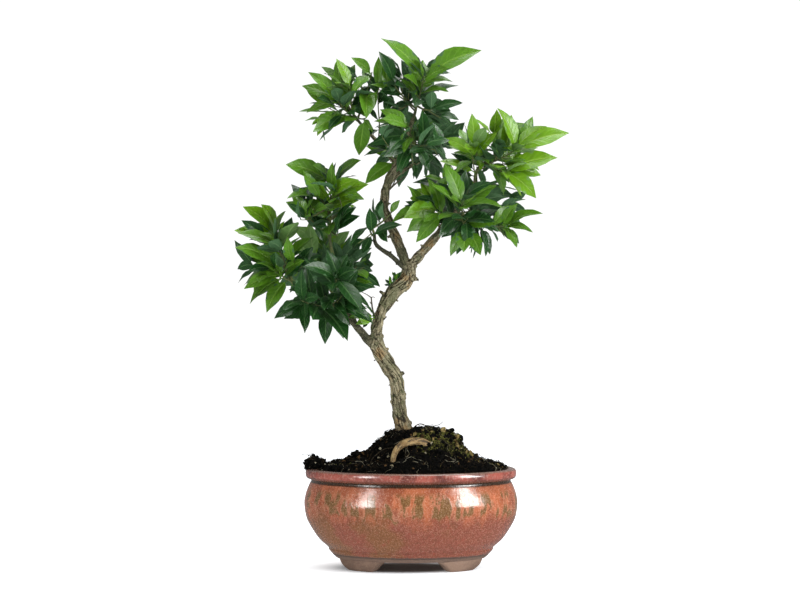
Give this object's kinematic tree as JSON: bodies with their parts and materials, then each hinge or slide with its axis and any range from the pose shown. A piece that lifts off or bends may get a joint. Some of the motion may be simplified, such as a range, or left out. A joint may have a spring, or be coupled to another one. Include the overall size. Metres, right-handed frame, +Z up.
{
  "type": "potted orange bonsai tree",
  "caption": "Small citrus bonsai with a bent trunk and an open leafy crown, in an oval glazed pot on cloud feet.",
  "frame": {"origin": "on the surface that the pot's feet stand on, under the middle of the whole plant's outline", "axes": "+Z up; +X to the right and -Y towards the viewer of the plant's front"},
  "size_m": [0.2806, 0.1406, 0.4434],
  "materials": {
    "glaze": "glossy copper-red glaze with olive and pink runs",
    "foot_clay": "matte brown clay",
    "soil": "loose dark peat",
    "root_bark": "tan root bark",
    "bark": "rough grey-brown bark",
    "foliage": "waxy green leaves on green twigs"
  },
  "bodies": {
    "root": {"pot": "glaze", "pot_foot_front_left": "foot_clay", "pot_foot_front_right": "foot_clay", "pot_foot_back_left": "foot_clay", "pot_foot_back_right": "foot_clay", "soil": "soil", "surface_root": "root_bark", "trunk": "bark", "bough_leader": "bark", "bough_right": "bark", "bough_left": "bark", "bough_left_inner": "bark", "bough_left_upper": "bark", "bough_left_outer": "bark", "bough_left_back": "bark", "bough_top_left": "bark", "bough_top": "bark", "bough_centre": "bark", "bough_back": "bark", "bough_right_lower": "bark", "bough_right_back": "bark", "mass_top_left": "foliage", "mass_top": "foliage", "mass_centre": "foliage", "mass_back": "foliage", "mass_right_upper": "foliage", "mass_right_lower": "foliage", "mass_right_back": "foliage", "mass_left_upper": "foliage", "mass_left_outer": "foliage", "mass_left_lower": "foliage", "mass_left_back": "foliage", "sprig_inner": "foliage"}
  },
  "joints": []
}
